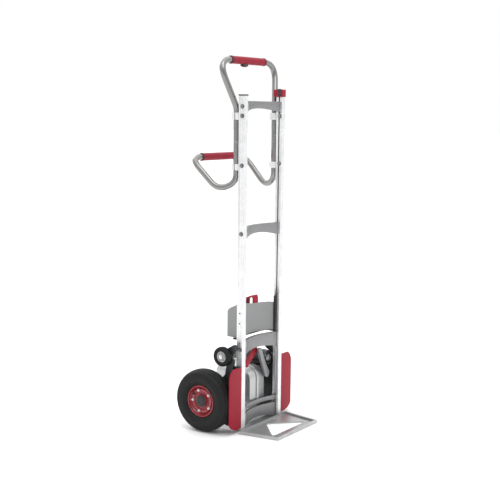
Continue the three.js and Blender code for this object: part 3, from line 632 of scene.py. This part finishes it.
# Profiles along an axle as (distance outwards, radius) in millimetres.
RIM_PROFILE = (
    (-30, 61), (-30.6, 63), (-29.5, 65.6), (-28, 66.6), (-24, 65.4), (-20, 63.6), (20, 63.6), (24, 65.4),
    (28, 66.6), (29.8, 66), (31, 64), (30.8, 61.6), (29, 60.2), (26.5, 60), (24.5, 58.6), (21, 55.6),
    (17, 53), (16.2, 51), (17.4, 50.2), (20.2, 50), (21, 49.2), (21, 39), (20.4, 38), (17, 36.4),
    (16, 34), (16, 29.5), (17, 28), (21, 27.2), (23.6, 26.4), (24, 25), (24, 21.4), (-14, 21.4),
    (-14, 26), (12, 29), (12, 50), (10, 56), (-22, 58), (-27, 59.5),
)
HUB_CAP_PROFILE = (
    (24.4, 24), (26.4, 24), (27.8, 23.2), (28.4, 21.4), (28.2, 19.6), (29.6, 18.4), (30.4, 16), (31, 9),
    (31, 8), (30.2, 7.2), (30.2, 0),
)
GROMMET_PROFILE = ((0, 5.4), (0.9, 5.4), (0.9, 4.6), (0.4, 4.2))
STEM_PROFILE = ((0, 3.6), (1.4, 3.6), (2.4, 2.6), (9, 2.4), (9.2, 3.1), (10.6, 3.1))
STEM_CAP_PROFILE = ((0, 3.1), (4.6, 2.9), (5.4, 2.2))
TYRE_SEAT = 67 * MM
RIM_BOLTS = 5
RIM_BOLT_START = -20
RIM_BOLT_R = 45
RIM_FACE = 21
VALVE_ANGLE = -56
VALVE_R = 44.5


def make_main_wheels():
    for name, side in SIDES:
        body = f"{name}_wheel"
        low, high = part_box(f"{name}_tyre")
        centre = (low + high) / 2
        half = (high.x - low.x) / 2
        radius = (high.z - low.z) / 2
        out = Vector((side, 0, 0))
        bm = bmesh.new()
        revolve(bm, centre, out, tyre_profile(half, radius, TYRE_SEAT), 144, loop=True)
        piece(f"{name}_tyre_casing", bm, "tyre", body, (f"{name}_tyre",), 50)

        bm = bmesh.new()
        revolve(bm, centre, out, in_mm(RIM_PROFILE), 96, loop=True)
        piece(f"{name}_rim_disc", bm, "rim", body, (f"{name}_rim",), 34)

        def spot(angle, r, t):
            a = math.radians(angle)
            return centre + Vector((side * t * MM, -math.sin(a) * r * MM, math.cos(a) * r * MM))

        bm = bmesh.new()
        for i in range(RIM_BOLTS):
            angle = RIM_BOLT_START + 360 // RIM_BOLTS * i
            bolt(bm, spot(angle, RIM_BOLT_R, RIM_FACE), out, 4.2 * MM, 3.8 * MM, 1.0 * MM)
        piece(f"{name}_rim_bolts", bm, "steel", body)

        bm = bmesh.new()
        revolve(bm, spot(VALVE_ANGLE, VALVE_R, 20.4), out, in_mm(GROMMET_PROFILE), 28)
        piece(f"{name}_valve_grommet", bm, "black", body)
        bm = bmesh.new()
        stem = spot(VALVE_ANGLE, VALVE_R, 20.2)
        revolve(bm, stem, out, in_mm(STEM_PROFILE), 24)
        revolve(bm, stem + out * 9.6 * MM, out, in_mm(STEM_CAP_PROFILE), 12)
        piece(f"{name}_valve_stem", bm, "black", body)

        bm = bmesh.new()
        revolve(bm, centre, out, in_mm(HUB_CAP_PROFILE), 72)
        piece(f"{name}_hub_cover", bm, "black", body, (f"{name}_hub_cap",))
        dress("steel", f"{name}_wheel_bearing")


def make_support_wheels():
    for name, side in SIDES:
        body = f"{name}_support_wheel"
        low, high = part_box(f"{name}_support_tyre")
        centre = (low + high) / 2
        half = (high.x - low.x) / 2
        radius = (high.z - low.z) / 2
        out = Vector((side, 0, 0))
        bm = bmesh.new()
        outer = [(-half, 23.2 * MM), (-half, radius - 7 * MM), (-half + 1.5 * MM, radius - 2.6 * MM),
                 (-half + 5 * MM, radius - 0.4 * MM), (0, radius)]
        outer += [(-t, r) for t, r in reversed(outer[:-1])]
        profile = [(p.x, min(p.y, radius)) for p in smooth_curve(outer, 6)]
        revolve(bm, centre, out, profile, 96, loop=True)
        piece(f"{name}_support_tread", bm, "tyre", body, (f"{name}_support_tyre",), 50)

        hub_low, hub_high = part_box(f"{name}_support_hub")
        inner = (hub_low.x if side > 0 else hub_high.x) * side
        w = hub_high.x - hub_low.x
        start = Vector((side * inner, centre.y, centre.z))
        shell = ((0.2 * MM, 6.6 * MM), (0, 14 * MM), (4 * MM, 21.8 * MM), (5 * MM, 22.5 * MM),
                 (w - 2.6 * MM, 22.5 * MM), (w - 1.6 * MM, 22 * MM), (w - 1.4 * MM, 20.4 * MM),
                 (w - 2.2 * MM, 19.6 * MM),
                 (w - 8 * MM, 19 * MM), (w - 8.6 * MM, 18.2 * MM), (w - 8.6 * MM, 12.4 * MM),
                 (w - 8 * MM, 11.6 * MM), (w - 0.8 * MM, 11.2 * MM), (w, 10.4 * MM), (w, 6.6 * MM))
        bm = bmesh.new()
        revolve(bm, start, out, shell, 64, loop=True)
        ribs = 6
        for i in range(ribs):
            a = math.radians(15 + 360 // ribs * i)
            way = Vector((0, math.sin(a), math.cos(a)))
            across = Vector((0, math.cos(a), -math.sin(a)))
            rings = []
            for t, x1 in ((10.8 * MM, w - 1.6 * MM), (19.6 * MM, w - 2.8 * MM)):
                x0 = w - 9 * MM
                at = start + way * t
                rings.append([at + out * x0 - across * 1.5 * MM, at + out * x0 + across * 1.5 * MM,
                              at + out * x1 + across * 1.1 * MM, at + out * x1 - across * 1.1 * MM])
            loft(bm, rings)
        piece(f"{name}_support_hub_ribs", bm, "hub", body, (f"{name}_support_hub",), 34)

        bm = bmesh.new()
        nut = start + out * (w - 0.2 * MM)
        bolt(bm, nut, out, 6.4 * MM, 3.6 * MM, 0.8 * MM)
        piece(f"{name}_support_nut", bm, "steel", "lift_arms")
        dress("steel", f"{name}_support_pin")
        refine(f"{name}_lift_arm", "arm", "lift_arms", 2.2 * MM, 3)


# ---------------------------------------------------------------- drive unit
def make_drive():
    for half in ("right", "left"):
        refine(f"gearbox_{half}_half", "gearbox", "frame", 1.3 * MM)
    refine("worm_case", "gearbox", "frame", 1.2 * MM)
    dress("steel", "axle", "drive_sleeve", "drive_gear", "layshaft", "motor_rotor")
    dress("brass", "right_shaft_bush", "left_shaft_bush")

    low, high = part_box("gearbox_left_half")
    bm = bmesh.new()
    seam = low.x + 6 * MM
    y0, y1, z0, z1 = low.y, high.y, low.z, high.z
    inset = 3.0 * MM
    corner = 46 * MM
    drop = 17 * MM
    past = 8 * MM
    places = ((y0 + corner, z0 + inset), (y1 - corner, z0 + inset), (y0 + corner, z1 - drop - inset),
              (y1 - corner, z1 - inset), (y0 + inset, (z0 + z1) / 2 + past),
              (y0 + inset, z0 + corner + past), (y1 - inset, z0 + corner + past),
              (y1 - inset, z1 - corner - past))
    for y, z in places:
        bolt(bm, (seam + 0.1 * MM, y, z), (1, 0, 0), 3.6 * MM, 3.4 * MM, 0.8 * MM)
    piece("gearbox_bolts", bm, "steel", "frame")

    low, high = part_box("worm_case")
    bm = bmesh.new()
    edge = 1.0 * MM
    back = high.y + 0.3 * MM
    outline = round_rect(low.x + edge, high.x - edge, low.z + edge, high.z - edge, 9 * MM)
    extrude(bm, outline, "y", back, back + 3.2 * MM)
    top = [e for e in bm.edges if all(v.co.y > back + 3 * MM for v in e.verts)]
    bmesh.ops.bevel(bm, geom=top, offset=0.8 * MM, segments=2, affect="EDGES")
    for x in (low.x + 8 * MM, high.x - 8 * MM):
        for z in (low.z + 8 * MM, high.z - 8 * MM):
            socket_screw(bm, (x, back + 3.1 * MM, z), (0, 1, 0), 3.6 * MM, 2.6 * MM)
    piece("worm_case_cover", bm, "gearbox", "frame")

    low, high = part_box("motor_can")
    centre = (low + high) / 2
    radius = (high.z - low.z) / 2
    length = high.y - low.y
    bm = bmesh.new()
    profile = [(0, radius - 3 * MM), (0, radius - 0.6 * MM), (0.8 * MM, radius)]
    ribs = 9
    for i in range(ribs):
        t = length * (0.16 + 0.68 * i / (ribs - 1))
        sunk = radius - 1.4 * MM
        profile.extend(((t - 1.6 * MM, radius), (t - 1.2 * MM, sunk),
                        (t + 1.2 * MM, sunk), (t + 1.6 * MM, radius)))
    profile.extend(((length - 0.8 * MM, radius), (length, radius - 0.6 * MM), (length, 8.4 * MM),
                    (length - 5 * MM, 8.4 * MM), (length - 5 * MM, radius - 3 * MM)))
    revolve(bm, (centre.x, low.y, centre.z), (0, 1, 0), profile, 96, loop=True)
    piece("motor_housing", bm, "motor", "frame", ("motor_can",))

    low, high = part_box("motor_end_cap")
    radius = (high.z - low.z) / 2
    deep = high.y - low.y
    bm = bmesh.new()
    nose = deep - 5.7 * MM
    profile = ((deep, 0), (deep, radius - 0.5 * MM), (deep - 0.8 * MM, radius), (nose + 1 * MM, radius),
               (nose, radius - 1.2 * MM), (nose, 24 * MM), (nose + 1.8 * MM, 23 * MM),
               (nose + 1.8 * MM, 15 * MM))
    revolve(bm, (centre.x, low.y, centre.z), (0, 1, 0), profile, 96)
    piece("motor_end_ring", bm, "motor", "frame", ("motor_end_cap",))
    bm = bmesh.new()
    boss = ((nose + 1.7 * MM, 15.4 * MM), (nose, 15 * MM), (nose - 1 * MM, 13 * MM), (1.2 * MM, 13 * MM),
            (0, 11.8 * MM), (0, 7 * MM), (1.4 * MM, 6.4 * MM), (1.4 * MM, 0))
    revolve(bm, (centre.x, low.y, centre.z), (0, 1, 0), boss, 64)
    ring_r = 27.5 * MM
    for angle in (30, 150, 270):
        a = math.radians(angle)
        at = (centre.x + ring_r * math.cos(a), low.y + nose, centre.z + ring_r * math.sin(a))
        socket_screw(bm, at, (0, -1, 0), 3.0 * MM, 2.2 * MM)
    piece("motor_end_boss", bm, "steel", "frame")


# ---------------------------------------------------------------- battery
def make_battery():
    refine("battery_case", "battery", "battery", 2.6 * MM, 3)
    refine("battery_handle", "red", "battery", 2.4 * MM, 3)
    dress("black", "battery_cells")
    low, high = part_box("battery_case")
    bm = bmesh.new()
    inset = 5 * MM
    near = (low.x + inset, low.y + 22 * MM, low.z)
    far = (high.x - inset, high.y - inset, low.z + 3.4 * MM)
    box(bm, near, far, 0.6 * MM)
    piece("battery_base_plate", bm, "black", "battery")
    bm = bmesh.new()
    for side in (-1, 1):
        x = side * 78 * MM
        z = low.z + 45 * MM
        half = 14 * MM
        box(bm, (x - half, high.y - 1.2 * MM, z - half), (x + half, high.y + 2.4 * MM, z + half), 1.0 * MM)
        near = (x - 9 * MM, high.y + 2.0 * MM, z - 10 * MM)
        far = (x + 9 * MM, high.y + 3.4 * MM, z + 4 * MM)
        box(bm, near, far, 0.6 * MM)
    piece("battery_latches", bm, "black", "battery")


# ---------------------------------------------------------------- controls
def make_controls():
    refine("control_housing", "red", "frame", 2.0 * MM, 3)
    refine("button_housing", "black", "frame", 0.8 * MM)
    refine("run_button", "red", "push_button", 0.9 * MM)

    low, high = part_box("climb_rocker")
    centre = (low + high) / 2
    radius = (high.z - low.z) / 2
    bm = bmesh.new()
    steps = 60
    outline = []
    for i in range(steps):
        a = 2 * math.pi * i / steps
        ridge = 0.5 * MM if math.sin(a) > 0.25 and i % 4 < 2 else 0.0
        r = radius - ridge
        outline.append((centre.y + r * math.cos(a), centre.z + r * math.sin(a)))
    extrude(bm, outline, "x", low.x, high.x)
    piece("climb_rocker_cap", bm, "black", "rocker_switch", ("climb_rocker",), 20)

    low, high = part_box("control_cable")
    thick = 2.2 * MM
    head = (high.x - thick, (low.y + high.y) / 2)
    foot = (low.x + thick, (low.y + high.y) / 2)
    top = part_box("left_battery_guide")[1].z
    corners = ((*head, high.z), (*head, top + 42 * MM), (*foot, top + 24 * MM), (*foot, low.z))
    path = rounded_line(corners, (8 * MM, 8 * MM), 4 * MM)
    bm = bmesh.new()
    sweep(bm, path, thick, 20)
    piece("control_cable_jacket", bm, "black", "frame", ("control_cable",))
    bm = bmesh.new()
    socket = ((0, 4.0), (5, 4.0), (6, 3.6), (13, 3.0), (14, 2.4))
    revolve(bm, (*foot, top + 0.2 * MM), UP, in_mm(socket), 24)
    piece("power_socket", bm, "black", "frame")

    low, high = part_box("control_housing")
    bm = bmesh.new()
    for x0, x1 in ((low.x - 0.5 * MM, low.x + 2.6 * MM), (high.x - 2.6 * MM, high.x + 0.5 * MM)):
        box(bm, (x0, low.y + 7 * MM, low.z + 2 * MM), (x1, low.y + 22 * MM, high.z + 0.4 * MM), 0.4 * MM)
    piece("housing_switch_frame", bm, "black", "frame")


# ---------------------------------------------------------------- floor and scene
def add_floor():
    bm = bmesh.new()
    reach = 60.0
    bmesh.ops.create_grid(bm, x_segments=8, y_segments=8, size=reach)
    mesh = bpy.data.meshes.new("floor")
    bm.to_mesh(mesh)
    bm.free()
    mesh.materials.append(MADE["floor"])
    floor = bpy.data.objects.new("floor", mesh)
    bpy.context.collection.objects.link(floor)


add_camera()
add_studio()
make_materials()
add_floor()
make_rails()
make_fittings()
make_handles()
make_main_wheels()
make_support_wheels()
make_drive()
make_battery()
make_controls()
